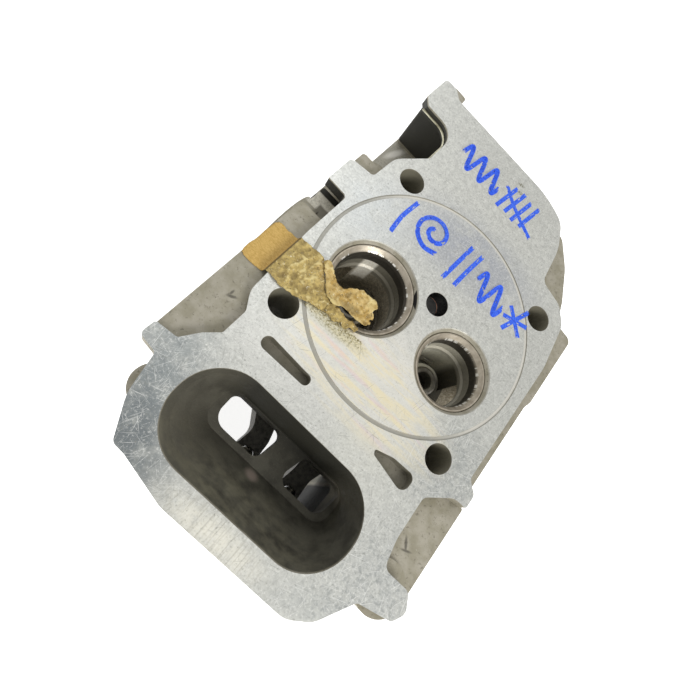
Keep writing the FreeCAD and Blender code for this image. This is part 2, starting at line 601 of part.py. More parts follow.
def shaft_screw():
    """Grub screw that locks the shaft in the pedestal."""
    top, low = SHAFT_Z - 3, SHAFT_Z - PED_HEAD_R + 0.4
    screw = turned([(0, top), (LOCK_SCREW_R - 0.9, top), (LOCK_SCREW_R, top - 1),
                    (LOCK_SCREW_R, low), (0, low)], PED_MID, SHAFT_Y)
    return screw.cut(hexagon(2.5, PED_MID, SHAFT_Y, low - 1, low + 2.5))


def rocker_arm(hub_x, valve_x, push_x):
    """Forged arm: a hub on the shaft, a tip over the valve and an eye over the pushrod."""
    end, tip, waist = EYE_R - 0.2, 4.6, HUB_W / 2 - 0.2
    plan = [
        (push_x - end, PUSHROD_Y, 4.5), (push_x - 4.0, PUSHROD_Y - 5.0, 2.0),
        (push_x + 4.0, PUSHROD_Y - 5.0, 2.0), (push_x + end, PUSHROD_Y, 4.5),
        (push_x + 4.4, PUSHROD_Y + 10, 8.0), (hub_x + waist, SHAFT_Y - 7, 5.0),
        (hub_x + waist, SHAFT_Y + 9, 5.0), (valve_x + tip, VALVE_Y - 8, 6.0),
        (valve_x + tip, VALVE_Y + 4, 2.5), (valve_x - tip, VALVE_Y + 4, 2.5),
        (valve_x - tip, VALVE_Y - 8, 6.0), (hub_x - waist, SHAFT_Y + 9, 5.0),
        (hub_x - waist, SHAFT_Y - 7, 5.0), (push_x - 4.4, PUSHROD_Y + 10, 8.0),
    ]
    side = [(PUSHROD_Y - 7, 2), (SHAFT_Y - 7, 6.5), (SHAFT_Y + 7, 5.5), (VALVE_Y - 5, 0.6),
            (VALVE_Y + 5, 0.2), (VALVE_Y + 5, -6), (SHAFT_Y + 8, -7.5), (SHAFT_Y - 8, -7.5),
            (PUSHROD_Y - 7, -5)]
    points = [V(hub_x - 50, y, SHAFT_Z + z) for y, z in side]
    height = Part.Face(Part.makePolygon(points + [points[0]])).extrude(V(100, 0, 0))
    beam = slab(plan, SHAFT_Z - 8.5, SHAFT_Z + 9).common(height)
    hub = rod(HUB_R, hub_x - HUB_W / 2, hub_x + HUB_W / 2, SHAFT_Y, SHAFT_Z)
    pad = rod(PAD_R, valve_x - tip, valve_x + tip, VALVE_Y, SHAFT_Z - 2.6)
    eye = post(EYE_R, push_x, PUSHROD_Y, NUT_TOP, SHAFT_Z + 2)
    oil_hole = Part.makeCylinder(1.2, 30, V(hub_x, SHAFT_Y, SHAFT_Z), V(0, 0.35, 1))
    return carve(join([beam, hub, pad, eye]), [
        rod(BUSH_R, hub_x - 20, hub_x + 20, SHAFT_Y, SHAFT_Z),
        post(TAPPET_R, push_x, PUSHROD_Y, SHAFT_Z - 20, SHAFT_Z + 20),
        post(EYE_R + 0.5, push_x, PUSHROD_Y, SHAFT_Z - 20, NUT_TOP),
        oil_hole,
    ])


def rocker_bush(hub_x):
    x0, x1 = hub_x - HUB_W / 2, hub_x + HUB_W / 2
    bush = rod(BUSH_R, x0, x1, SHAFT_Y, SHAFT_Z)
    return bush.cut(rod(SHAFT_R + SHAFT_PLAY, x0 - 1, x1 + 1, SHAFT_Y, SHAFT_Z))


def adjuster_screw(push_x):
    """Tappet screw: ball end up towards the pushrod, screwdriver slot below."""
    ball_z, low = SHAFT_Z + 6.0, SHAFT_Z - 12.0
    neck_r = TAPPET_R - 0.8
    shank = turned([(0, low), (TAPPET_R - 0.6, low), (TAPPET_R, low + 0.6),
                    (TAPPET_R, ball_z - 4.2), (neck_r, ball_z - 2.6), (neck_r, ball_z),
                    (0, ball_z)], push_x, PUSHROD_Y)
    ball = Part.makeSphere(TAPPET_R + 0.3, V(push_x, PUSHROD_Y, ball_z))
    slot = Part.makeBox(8, 1.0, 1.6, V(push_x - 4, PUSHROD_Y - 0.5, low - 0.1))
    return join([shank, ball]).cut(slot)


def adjuster_locknut(push_x):
    nut = hexagon(TAPPET_NUT, push_x, PUSHROD_Y, NUT_TOP - 4.8, NUT_TOP)
    return nut.cut(post(TAPPET_R, push_x, PUSHROD_Y, SHAFT_Z - 20, SHAFT_Z))


# ---- masking tape over the intake port -------------------------------------
def masking_tape():
    """Strip from the ledge, up over the deck's edge and across the rim of the intake port."""
    ledge_end, riser, deck_end, fold_end = -58.3, -50.0, -36.4, -11.5
    low_y, high_y = -32.5, -15.0
    pieces = [
        slab(rectangle(ledge_end, riser, low_y, high_y, 1.5), LEDGE_Z, LEDGE_Z + TAPE_T),
        slab(rectangle(riser - TAPE_T, riser + 0.6, low_y, high_y, 0.3), LEDGE_Z, TAPE_T),
        slab(rectangle(riser - TAPE_T, deck_end + 0.5, low_y, high_y, 0.3), 0, TAPE_T),
        slab([(deck_end, high_y - 0.1, 1.0), (-31.0, -15.4, 2.0), (-24.0, -17.0, 2.0),
              (-15.5, -13.6, 1.0), (fold_end, -20.0, 1.0), (-14.5, -28.6, 2.0),
              (-28.0, -29.6, 4.0), (deck_end, low_y + 0.1, 1.0)], 0, TAPE_FOLD_T),
    ]
    return join(pieces)


def main():
    os.makedirs("parts", exist_ok=True)
    save("head_casting", head_casting())
    save("intake_valve_seat", seat_ring(IN_X, IN_SEAT_R, IN_THROAT_R))
    save("exhaust_valve_seat", seat_ring(EX_X, EX_SEAT_R, EX_THROAT_R))
    save("intake_valve_guide", valve_guide(IN_X))
    save("exhaust_valve_guide", valve_guide(EX_X))
    save("intake_stem_seal", stem_seal(IN_X))
    save("exhaust_stem_seal", stem_seal(EX_X))
    save("stem_seal_springs", seal_springs())
    save("intake_spring_seat", spring_seat(IN_X))
    save("exhaust_spring_seat", spring_seat(EX_X))
    save("guide_locating_rings", guide_rings())
    save("injector_washer", injector_washer())
    save("injector_clamp_studs", injector_studs())
    save("oil_feed_plug", oil_plug())
    save("oil_plug_washer", plug_washer())
    save("rocker_pedestal", rocker_pedestal())
    save("pedestal_bolts", pedestal_bolts())
    save("pedestal_washers", pedestal_washers())
    save("rocker_shaft", rocker_shaft())
    save("shaft_lock_screw", shaft_screw())
    save("shaft_circlips", shaft_clips())
    save("shaft_thrust_washers", shaft_washers())
    arms = (("intake", IN_HUB_X, IN_X, IN_PUSHROD_X), ("exhaust", EX_HUB_X, EX_X, EX_PUSHROD_X))
    for side, hub_x, valve_x, push_x in arms:
        save(side + "_rocker_arm", rocker_arm(hub_x, valve_x, push_x))
        save(side + "_rocker_bush", rocker_bush(hub_x))
        save(side + "_adjuster_screw", adjuster_screw(push_x))
        save(side + "_adjuster_locknut", adjuster_locknut(push_x))
    save("masking_tape", masking_tape())


main()
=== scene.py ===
"""Looks of an air-cooled diesel cylinder head, lying with its deck up.

Everything is in metres in the part's own frame: the origin is the cylinder axis on the deck face,
+Z points out of the deck, -X is the intake side and -Y the pushrod side.
"""

import json
import math
import random

import bmesh
import bpy
from mathutils import Matrix, Vector, noise


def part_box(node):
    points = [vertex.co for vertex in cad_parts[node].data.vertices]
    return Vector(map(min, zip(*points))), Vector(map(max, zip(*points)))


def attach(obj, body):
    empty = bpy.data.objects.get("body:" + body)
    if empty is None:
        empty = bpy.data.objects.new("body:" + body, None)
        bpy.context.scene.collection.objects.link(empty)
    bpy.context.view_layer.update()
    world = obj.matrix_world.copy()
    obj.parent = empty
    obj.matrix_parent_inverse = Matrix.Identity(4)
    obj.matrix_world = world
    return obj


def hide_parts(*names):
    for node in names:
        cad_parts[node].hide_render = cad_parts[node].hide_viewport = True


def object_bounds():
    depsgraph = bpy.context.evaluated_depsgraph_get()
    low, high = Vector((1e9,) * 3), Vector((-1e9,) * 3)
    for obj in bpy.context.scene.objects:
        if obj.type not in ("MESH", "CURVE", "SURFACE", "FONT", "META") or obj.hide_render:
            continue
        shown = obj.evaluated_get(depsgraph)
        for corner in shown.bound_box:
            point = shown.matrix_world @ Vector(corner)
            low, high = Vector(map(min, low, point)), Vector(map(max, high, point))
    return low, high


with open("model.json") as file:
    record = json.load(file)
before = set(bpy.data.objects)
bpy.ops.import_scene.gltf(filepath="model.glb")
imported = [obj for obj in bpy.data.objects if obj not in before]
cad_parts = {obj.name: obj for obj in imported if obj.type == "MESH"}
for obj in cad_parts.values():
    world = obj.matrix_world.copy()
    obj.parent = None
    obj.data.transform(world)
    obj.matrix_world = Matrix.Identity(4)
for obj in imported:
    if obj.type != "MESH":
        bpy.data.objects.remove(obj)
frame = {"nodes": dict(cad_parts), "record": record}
cad_low, cad_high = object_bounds()
MM = 0.001
HEAD = "head"


# ---- places taken from the frame -------------------------------------------
def centre(node):
    low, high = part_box(node)
    return (low + high) / 2


def radius_of(node):
    low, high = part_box(node)
    return (high.x - low.x) / 2


INTAKE = centre("intake_valve_seat") / MM
EXHAUST = centre("exhaust_valve_seat") / MM
INTAKE_R = radius_of("intake_valve_seat") / MM
EXHAUST_R = radius_of("exhaust_valve_seat") / MM
FLOOR_Z = cad_low.z
LEDGE_TOP = -2.7            # the intake ledge, in millimetres below the deck
RING_R = 45.0               # the gasket's ring mark
BOLT_HALF = 36.65           # head bolts, from the cylinder axis along X and Y
CHAMBER = (-4.9, -78.0)     # middle of the pushrod chamber's mouth
INJECTOR = (1.8, 6.1)       # injector hole in the deck
INJECTOR_TILT = 18.0        # degrees, leaning towards +Y as it goes down
INJECTOR_POCKET_R = 8.75
STUD_X = 17.5               # clamp studs, either side of the injector
STUD_R = 3.0
STUD_THREAD = (68.0, 82.5)  # ends of the threaded part, along the injector's leaning axis
SHARP = math.radians(35)    # edges of the casting that turn more than this are broken
EDGE_BREAK = 0.3            # width of the broken edges
PAPER_T = 0.14              # thickness of the tape
INK_SINK = 0.02             # how far the ink reaches into the deck, and its least height over it
INK_RISE = 0.0004           # each length of a bristle track lies this much above the one before


# ---- camera, light and floor -----------------------------------------------
def set_camera():
    data = bpy.data.cameras.new("camera")
    data.lens = 25.86
    data.sensor_width = 36.0
    data.clip_start = 0.005
    camera = bpy.data.objects.new("camera", data)
    right = Vector((0.69822, 0.61400, 0.36809))
    up = Vector((-0.70675, 0.67309, 0.21785))
    back = right.cross(up).normalized()
    turn = Matrix((right, up, back)).transposed().to_4x4()
    camera.matrix_world = Matrix.Translation((-0.02959, -0.10028, 0.15058)) @ turn
    bpy.context.scene.collection.objects.link(camera)
    bpy.context.scene.camera = camera


def area_light(name, place, target, size, power, tint):
    data = bpy.data.lights.new(name, "AREA")
    data.shape = "DISK"
    data.size = size
    data.energy = power
    data.color = tint
    lamp = bpy.data.objects.new(name, data)
    lamp.location = place
    lamp.rotation_euler = (Vector(target) - Vector(place)).to_track_quat("-Z", "Y").to_euler()
    bpy.context.scene.collection.objects.link(lamp)


def set_light():
    world = bpy.data.worlds.new("studio")
    world.use_nodes = True
    background = world.node_tree.nodes["Background"]
    background.inputs["Color"].default_value = (1.0, 0.995, 0.975, 1)
    background.inputs["Strength"].default_value = 0.55
    bpy.context.scene.world = world
    area_light("key", (0.75, -0.45, 0.6), (0, -0.02, 0), 0.5, 7.0, (1.0, 0.985, 0.95))
    area_light("fill", (-0.5, 0.5, 0.8), (0, 0, 0), 0.8, 3.0, (0.97, 0.98, 1.0))
    bpy.context.scene.view_settings.view_transform = "Standard"


def make_floor():
    mesh = bpy.data.meshes.new("floor")
    mesh.from_pydata([(-3, -3, 0), (3, -3, 0), (3, 3, 0), (-3, 3, 0)], [], [(0, 1, 2, 3)])
    floor = bpy.data.objects.new("floor", mesh)
    floor.location.z = FLOOR_Z
    bpy.context.scene.collection.objects.link(floor)
    paint = bpy.data.materials.new("pale_floor")
    paint.use_nodes = True
    shader = paint.node_tree.nodes["Principled BSDF"]
    shader.inputs["Base Color"].default_value = (0.9, 0.9, 0.9, 1)
    shader.inputs["Roughness"].default_value = 0.9
    shader.inputs["Emission Color"].default_value = (1, 1, 1, 1)
    shader.inputs["Emission Strength"].default_value = 0.85
    mesh.materials.append(paint)


# ---- node helpers ----------------------------------------------------------
class Look:
    """A Principled material, with short ways to wire the nodes that feed it."""

    def __init__(self, name, metallic=0.0, roughness=0.5):
        self.material = bpy.data.materials.new(name)
        self.material.use_nodes = True
        self.tree = self.material.node_tree
        self.shader = self.tree.nodes["Principled BSDF"]
        self.shader.inputs["Metallic"].default_value = metallic
        self.shader.inputs["Roughness"].default_value = roughness
        coordinates = self.tree.nodes.new("ShaderNodeTexCoord")
        self.place = self.scaled(coordinates.outputs["Object"], (1 / MM,) * 3)
        split = self.tree.nodes.new("ShaderNodeSeparateXYZ")
        self.feed(split.inputs[0], self.place)
        self.x, self.y, self.z = split.outputs
        tilt = self.tree.nodes.new("ShaderNodeSeparateXYZ")
        self.feed(tilt.inputs[0], coordinates.outputs["Normal"])
        self.facing_up = tilt.outputs[2]

    def feed(self, socket, value):
        if isinstance(value, bpy.types.NodeSocket):
            self.tree.links.new(value, socket)
        elif socket.type == "RGBA":
            shade = (value,) * 3 if isinstance(value, (int, float)) else value[:3]
            socket.default_value = (*shade, 1)
        else:
            socket.default_value = value

    def math(self, operation, a, b=0.0):
        node = self.tree.nodes.new("ShaderNodeMath")
        node.operation = operation
        self.feed(node.inputs[0], a)
        self.feed(node.inputs[1], b)
        return node.outputs[0]

    def add(self, a, b):
        return self.math("ADD", a, b)

    def times(self, a, b):
        return self.math("MULTIPLY", a, b)

    def both(self, *masks):
        whole = masks[0]
        for mask in masks[1:]:
            whole = self.times(whole, mask)
        return whole

    def either(self, *masks):
        whole = masks[0]
        for mask in masks[1:]:
            whole = self.math("MAXIMUM", whole, mask)
        return whole

    def inverse(self, mask):
        return self.math("SUBTRACT", 1.0, mask)

    def step(self, value, low, high):
        """0 below low, 1 above high and smooth between; low above high turns it round."""
        if low > high:
            return self.inverse(self.step(value, high, low))
        node = self.tree.nodes.new("ShaderNodeMapRange")
        node.interpolation_type = "SMOOTHSTEP"
        self.feed(node.inputs["Value"], value)
        node.inputs["From Min"].default_value = low
        node.inputs["From Max"].default_value = high
        return node.outputs[0]

    def scaled(self, vector, scale, turn=0.0, shift=(0, 0, 0)):
        """The vector times scale, turned round Z by turn degrees and then moved by shift."""
        node = self.tree.nodes.new("ShaderNodeMapping")
        self.feed(node.inputs["Vector"], vector)
        node.inputs["Scale"].default_value = scale
        node.inputs["Rotation"].default_value = (0, 0, math.radians(turn))
        node.inputs["Location"].default_value = shift
        return node.outputs[0]

    def noise(self, size, detail=3.0, roughness=0.55, where=None):
        """Noise whose features are about size millimetres."""
        node = self.tree.nodes.new("ShaderNodeTexNoise")
        self.feed(node.inputs["Vector"], self.place if where is None else where)
        node.inputs["Scale"].default_value = 1.0 / size
        node.inputs["Detail"].default_value = detail
        node.inputs["Roughness"].default_value = roughness
        return node.outputs["Fac"]

    def streaks(self, turn, length, width, low, high, shift=0.0):
        """Straight hairlines along one direction, at turn degrees from X."""
        turned = self.scaled(self.place, (1, 1, 1), turn=-turn, shift=(shift, shift, shift))
        drawn = self.scaled(turned, (1 / length, 1 / width, 0.0))
        return self.step(self.noise(1.0, 1.0, 0.4, where=drawn), low, high)

    def disc(self, x, y, radius, soft):
        """1 within radius of an upright axis."""
        return self.step(self.distance(x, y), radius + soft, radius - soft)

    def distance(self, x, y):
        """Millimetres from an upright axis."""
        dx = self.math("SUBTRACT", self.x, x)
        dy = self.math("SUBTRACT", self.y, y)
        return self.math("SQRT", self.add(self.times(dx, dx), self.times(dy, dy)))

    def length(self, vector):
        node = self.tree.nodes.new("ShaderNodeVectorMath")
        node.operation = "LENGTH"
        self.feed(node.inputs[0], vector)
        return node.outputs["Value"]

    def leaning_pocket(self):
        """1 inside the injector's pocket."""
        node = self.tree.nodes.new("ShaderNodeMapping")
        self.feed(node.inputs["Vector"], self.scaled(self.place, (1, 1, 1),
                                                     shift=(-INJECTOR[0], -INJECTOR[1], 0)))
        node.inputs["Rotation"].default_value = (-math.radians(INJECTOR_TILT), 0, 0)
        away = self.length(self.scaled(node.outputs[0], (1, 1, 0)))
        return self.step(away, INJECTOR_POCKET_R + 0.6, INJECTOR_POCKET_R + 0.3)

    def dashes(self, x, y, size):
        """Noise that changes only with the angle round an upright axis."""
        node = self.tree.nodes.new("ShaderNodeVectorMath")
        node.operation = "NORMALIZE"
        self.feed(node.inputs[0], self.scaled(self.place, (1, 1, 0), shift=(-x, -y, 0)))
        return self.noise(size, 2.0, 0.6, where=node.outputs[0])

    def patch(self, x, y, half_x, half_y, turn=0.0, soft=0.5):
        """1 within an upright column with a soft-edged ellipse as its section."""
        shifted = self.scaled(self.place, (1, 1, 1), shift=(-x, -y, 0))
        turned = self.scaled(shifted, (1, 1, 1), turn=-turn)
        shaped = self.scaled(turned, (1 / half_x, 1 / half_y, 0.0))
        return self.step(self.length(shaped), 1 + soft, 1 - soft)

    def mix(self, amount, one, other):
        """The colour one where amount is 0 and other where it is 1."""
        node = self.tree.nodes.new("ShaderNodeMix")
        node.data_type = "RGBA"
        self.feed(node.inputs["Factor"], amount)
        self.feed(node.inputs[6], one)
        self.feed(node.inputs[7], other)
        return node.outputs[2]

    def level(self, amount, one, other):
        """A number that goes from one to other with amount."""
        node = self.tree.nodes.new("ShaderNodeMix")
        node.data_type = "FLOAT"
        self.feed(node.inputs["Factor"], amount)
        self.feed(node.inputs[2], one)
        self.feed(node.inputs[3], other)
        return node.outputs[0]

    def bump(self, height, depth, strength=1.0, under=None):
        """Relief of about depth millimetres; under is another relief beneath it."""
        node = self.tree.nodes.new("ShaderNodeBump")
        node.inputs["Strength"].default_value = strength
        node.inputs["Distance"].default_value = depth * MM
        self.feed(node.inputs["Height"], height)
        if under is not None:
            self.feed(node.inputs["Normal"], under)
        return node.outputs[0]

    def finish(self, colour=None, roughness=None, metallic=None, normal=None):
        for name, value in (("Base Color", colour), ("Roughness", roughness),
                            ("Metallic", metallic), ("Normal", normal)):
            if value is not None:
                self.feed(self.shader.inputs[name], value)
        return self.material


def colour(code):
    """Linear colour of a six-digit hexadecimal sRGB code."""
    parts = [int(code[i:i + 2], 16) / 255 for i in (0, 2, 4)]
    return tuple(p / 12.92 if p < 0.04045 else ((p + 0.055) / 1.055) ** 2.4 for p in parts)


# ---- materials -------------------------------------------------------------
# Broad painted light and shade on the milled deck, mixed with its own tone: x, y, half lengths,
# turn, colour, amount, size of the break-up.
DECK_LIGHT_AND_TONES = (
    (0, 33, 26, 13, 10, "a3a8b6", 0.7, 9), (-8, 76, 30, 9, 0, "c3c4bf", 0.4, 8),
    (-46, -84, 12, 24, 20, "8f9698", 0.9, 5), (-40, -96, 16, 9, -30, "747b7f", 0.85, 5),
    (46, -84, 14, 20, 10, "b8bbba", 0.6, 5), (28, -98, 15, 5, 20, "b5b8b6", 0.6, 5),
    (44, 8, 12, 34, 0, "c0c1bc", 0.4, 9), (40, -36, 14, 12, 30, "b0b4b3", 0.6, 5),
    (-4, -101, 15, 4, 0, "fbf8ea", 0.8, 4), (-18, -52, 20, 8, 0, "e3e3de", 0.6, 8),
    (-38, 14, 14, 14, 0, "d6dbdd", 0.6, 9), (2, -20, 18, 12, 0, "f0eee6", 0.75, 8),
    (14, -54, 12, 8, 0, "e6e6dc", 0.5, 6), (-30, -44, 10, 8, 0, "f0f0ea", 0.5, 6),
)
# Families of hairline scratches: degrees from X, length, width, threshold, shift.
SCRATCHES = (
    (18, 15, 0.28, 0.69, 0.0), (-38, 12, 0.24, 0.69, 7.0), (64, 11, 0.24, 0.69, 31.0),
    (101, 14, 0.26, 0.69, 53.0), (-72, 9, 0.22, 0.70, 91.0), (41, 12, 0.22, 0.70, 77.0),
    (-12, 10, 0.22, 0.70, 61.0), (84, 8, 0.2, 0.70, 17.0),
)
DARK_SCRATCHES = (
    (12, 10, 0.26, 0.71, 111.0), (-55, 9, 0.24, 0.71, 137.0), (77, 12, 0.24, 0.71, 171.0),
    (38, 7, 0.22, 0.71, 151.0),
)


def broken(look, mask, size, low=0.3, high=0.7):
    """The mask, broken into blotches of about size millimetres."""
    return look.times(mask, look.step(look.noise(size, 4.0, 0.6), low, high))


def milled_deck(look):
    """(colour, mask of the scratches) of the machined face."""
    mottle = look.noise(2.4, 6.0, 0.65)
    tone = look.mix(look.step(mottle, 0.3, 0.72), colour("c6c7c2"), colour("dfe0da"))
    # broad patches of painted light and shade, with some of the deck's own tone among them
    for x, y, half_x, half_y, turn, code, amount, size in DECK_LIGHT_AND_TONES:
        spot = broken(look, look.patch(x, y, half_x, half_y, turn, 0.75), size, 0.15, 0.6)
        tone = look.mix(look.times(spot, amount), tone, colour(code))
    worn = look.either(look.patch(-44, -86, 18, 26, 25, 0.6), look.patch(42, -86, 18, 22, 0, 0.6),
                       look.patch(42, -38, 16, 16, 0, 0.6))
    dark = look.times(worn, look.step(look.noise(1.7, 5.0, 0.7), 0.46, 0.66))
    tone = look.mix(look.times(dark, 0.5), tone, colour("7d8386"))
    speckle = look.noise(0.8, 4.0, 0.75)
    tone = look.mix(look.times(look.step(speckle, 0.52, 0.7), 0.55), tone, colour("96978f"))
    tone = look.mix(look.times(look.step(speckle, 0.48, 0.32), 0.5), tone, colour("fdfdf8"))
    # straw and pink heat stain, drawn out along X
    along = look.scaled(look.place, (0.12, 1, 1))
    stained = look.patch(0, -35, 33, 14, -4, 0.45)
    cream = look.times(stained, look.step(look.noise(2.6, 4.0, 0.6, where=along), 0.42, 0.62))
    further = look.scaled(look.place, (0.12, 1, 1), shift=(40, 9, 0))
    pink = look.times(stained, look.step(look.noise(3.4, 3.0, 0.6, where=further), 0.55, 0.68))
    tone = look.mix(look.times(stained, 0.6), tone, colour("f5f3ea"))
    tone = look.mix(look.times(cream, 0.7), tone, colour("fbeec4"))
    tone = look.mix(look.times(pink, 0.4), tone, colour("f0d0d8"))
    # tool marks across the lower strip
    strip = look.patch(-4, -101, 18, 6, 0, 0.4)
    across = look.scaled(look.place, (1.4, 0.05, 0))
    marks = look.step(look.noise(1.0, 2.0, 0.5, where=across), 0.5, 0.62)
    tone = look.mix(look.times(look.times(strip, marks), 0.35), tone, colour("a5a294"))
    # hairlines, small dents and an olive smudge at the end away from the pushrods
    light, dull = (look.either(*[look.streaks(turn, length, width, edge, edge + 0.05, shift)
                                 for turn, length, width, edge, shift in family])
                   for family in (SCRATCHES, DARK_SCRATCHES))
    scratches = look.either(light, dull)
    tone = look.mix(look.times(dull, 0.5), tone, colour("85867f"))
    tone = look.mix(look.times(light, look.level(worn, 0.45, 0.7)), tone, colour("fafbf8"))
    dents = look.step(look.noise(0.8, 2.0), 0.68, 0.76)
    tone = look.mix(look.times(dents, 0.45), tone, colour("7f807b"))
    olive = look.either(look.patch(-4, 79, 1.6, 0.8, 20, 0.5),
                        look.patch(-2, 75.5, 1.4, 0.8, 0, 0.5))
    tone = look.mix(look.times(olive, look.step(look.noise(0.5, 2.0), 0.4, 0.6)), tone,
                    colour("6f6b52"))
    # glue and crumbs under the tape's ragged end
    glue = look.patch(-20.5, -29.6, 12.5, 3.0, 5, 0.5)
    specks = look.step(look.noise(0.9, 4.0, 0.7), 0.45, 0.62)
    tone = look.mix(look.times(glue, 0.6), tone, colour("d5cfb0"))
    tone = look.mix(look.times(look.times(glue, specks), 0.75), tone, colour("948c68"))
    # ring left by the gasket, with a painted highlight at the far end and painted shade towards
    # the pushrods
    out = look.distance(0, 0)
    ring = look.both(look.step(out, RING_R - 0.6, RING_R - 0.4),
                     look.step(out, RING_R + 0.65, RING_R + 0.45))
    side = look.step(look.add(look.times(look.x, 0.7), look.y), -18, 12)
    tone = look.mix(look.times(ring, 0.8), tone,
                    look.mix(side, colour("a09f98"), colour("f6f4ec")))
    # a dark line along the ring's outer edge, deepened towards the pushrods as painted shade
    edge = look.both(look.step(out, RING_R + 0.45, RING_R + 0.6),
                     look.step(out, RING_R + 0.85, RING_R + 0.7))
    tone = look.mix(look.times(edge, look.level(side, 0.75, 0.4)), tone, colour("77756c"))
    return tone, scratches


def cast_aluminium():
    """Sand-cast surfaces, the milled deck, bored holes and the sooty ports."""
    look = Look("cast_aluminium")
    up = look.step(look.facing_up, 0.5, 0.85)
    deck = look.both(look.step(look.z, -0.4, -0.25), up)

    # cast skin
    lumps = look.noise(5.0, 4.0)
    grain = look.noise(0.5, 3.0, 0.65)
    skin = look.mix(look.step(lumps, 0.3, 0.7), colour("96917f"), colour("aca799"))
    skin = look.mix(look.step(look.noise(1.1, 4.0, 0.7), 0.56, 0.72), skin, colour("746f62"))
    skin = look.mix(look.step(look.noise(0.7, 3.0), 0.68, 0.78), skin, colour("c9c5ba"))
    bruise = look.either(
        look.patch(47.2, -63.8, 0.5, 2.4, 35, 0.5), look.patch(48.6, -65.4, 1.9, 0.4, 20, 0.6),
        look.patch(-49.5, -46.5, 1.6, 0.5, 30, 0.6), look.patch(-50.4, -45.4, 0.4, 1.0, 0, 0.6))
    skin = look.mix(look.both(bruise, up, 0.75), skin, colour("4b483f"))

    # sooty inner walls of the pushrod chamber, with painted light on the end on the intake side
    # and on the slope on the pushrod side, painted shade on the wall away from the pushrods and a
    # painted highlight at the foot of the web between the windows
    chamber = look.both(look.patch(*CHAMBER, 40, 22.5, soft=0.12), look.step(look.z, -0.4, -1.2),
                        look.step(look.z, -47.0, -45.0))
    soot_and_light = look.mix(look.step(look.noise(7.0, 5.0, 0.6), 0.35, 0.65), colour("46443b"),
                    colour("5f5d52"))
    # painted light on the end on the intake side
    soot_and_light = look.mix(look.patch(-30, -86, 11, 15, soft=0.9), soot_and_light, colour("6a675c"))
    # painted light, in blotches, on the slope on the pushrod side
    soot_and_light = look.mix(look.times(broken(look, look.patch(-6, -91, 34, 9, soft=0.7), 6), 0.7), soot_and_light,
                    colour("8a8672"))
    # painted shade on the wall away from the pushrods
    soot_and_light = look.mix(look.patch(-5, -59.5, 42, 4.5, soft=0.5), soot_and_light, colour("403f37"))
    soot_and_light = look.mix(look.times(look.step(look.noise(0.6, 3.0), 0.6, 0.72), 0.35), soot_and_light,
                    colour("7b776a"))
    # painted highlight at the foot of the web between the windows
    soot_and_light = look.mix(look.patch(-3.6, -79.0, 2.4, 1.6, soft=0.6), soot_and_light, colour("a3958a"))

    # ports, with a paler wall above the bend in the exhaust one that is painted light, with
    # painted shade beyond it, and a pale rib in the intake one that is painted light
    mouths = [look.step(look.distance(middle.x, middle.y), outer + 0.6, outer + 0.3)
              for middle, outer in ((INTAKE, INTAKE_R), (EXHAUST, EXHAUST_R))]
    tubes = look.both(look.step(look.math("ABSOLUTE", look.add(look.y, -INTAKE.y)), 14.5, 13.5),
                      look.step(look.math("ABSOLUTE", look.x), 54.5, 53.5))
    ports = look.both(look.either(*mouths, tubes), look.step(look.z, -7.0, -8.0),
                      look.step(look.z, -44.0, -42.0))
    speckle = look.step(look.noise(0.8, 4.0, 0.7), 0.4, 0.7)
    carbon_and_light = look.mix(speckle, colour("8a8271"), colour("bdb5a2"))
    collar = look.step(look.z, -15.5, -14.0)
    carbon_and_light = look.mix(collar, carbon_and_light, colour("7d796c"))
    # painted light on a rib in the intake port
    lit_rib = look.both(look.step(look.x, -29.0, -27.6), look.step(look.x, -22.6, -24.0),
                    look.step(look.z, -23.0, -20.5), look.step(look.y, 0.0, 1.0))
    carbon_and_light = look.mix(lit_rib, carbon_and_light, look.mix(speckle, colour("e9e4d6"), colour("fffdf4")))
    # painted light on the exhaust port's wall towards the intake side and painted shade beyond it
    exhaust_light_and_shade = look.mix(look.step(look.x, 23.0, 27.5), colour("cfccbc"), colour("4b483d"))
    exhaust_light_and_shade = look.mix(look.times(collar, 0.6), exhaust_light_and_shade, colour("a8a496"))
    carbon_and_light = look.mix(mouths[1], carbon_and_light, look.mix(look.times(speckle, 0.3), exhaust_light_and_shade,
                                                  colour("7a766a")))

    # bolt holes, and the injector's hole painted black as shade
    wells = look.either(*[look.disc(sx * BOLT_HALF, sy * BOLT_HALF, 5.7, 0.15)
                          for sx in (-1, 1) for sy in (-1, 1)])
    wells = look.both(wells, look.step(look.z, -0.35, -0.7))
    nozzle_shade = look.both(look.leaning_pocket(), look.step(look.z, -0.35, -0.7))

    # painted shade in the hollow under the deck's cut-out, with a painted highlight on the shelf
    # below it; painted light on the step beside the intake lug, painted shade on the wall beside
    # it and a painted highlight on a low strip by the lug
    scoop_shade = look.both(look.step(look.x, -34.0, -38.0), look.step(look.y, 50.0, 53.0),
                      look.step(look.y, 84.5, 83.5), look.step(look.z, -0.6, -1.0),
                      look.step(look.z, -39.2, -38.2))
    shelf = look.both(look.patch(-52, 72, 12, 13, 0, 0.1), look.step(look.z, -36.0, -39.0), up)
    shelf_highlight = look.both(look.patch(-53.6, 76.5, 1.5, 6.0, -20, 0.6), look.step(look.z, -38.0, -39.0),
                      up)
    lit_tread = look.both(look.patch(-51, 6, 8, 9, 0, 0.1), look.step(look.z, -8.5, -9.0), up)
    notch_shade = look.both(look.step(look.x, -46.8, -47.4), look.step(look.y, 9.0, 9.6),
                      look.step(look.y, 14.0, 12.0), look.step(look.z, -0.4, -0.9))
    strip_highlight = look.both(look.patch(-54.0, 13.6, 5.0, 1.0, 6, 0.6), look.step(look.z, -14.0, -15.0))

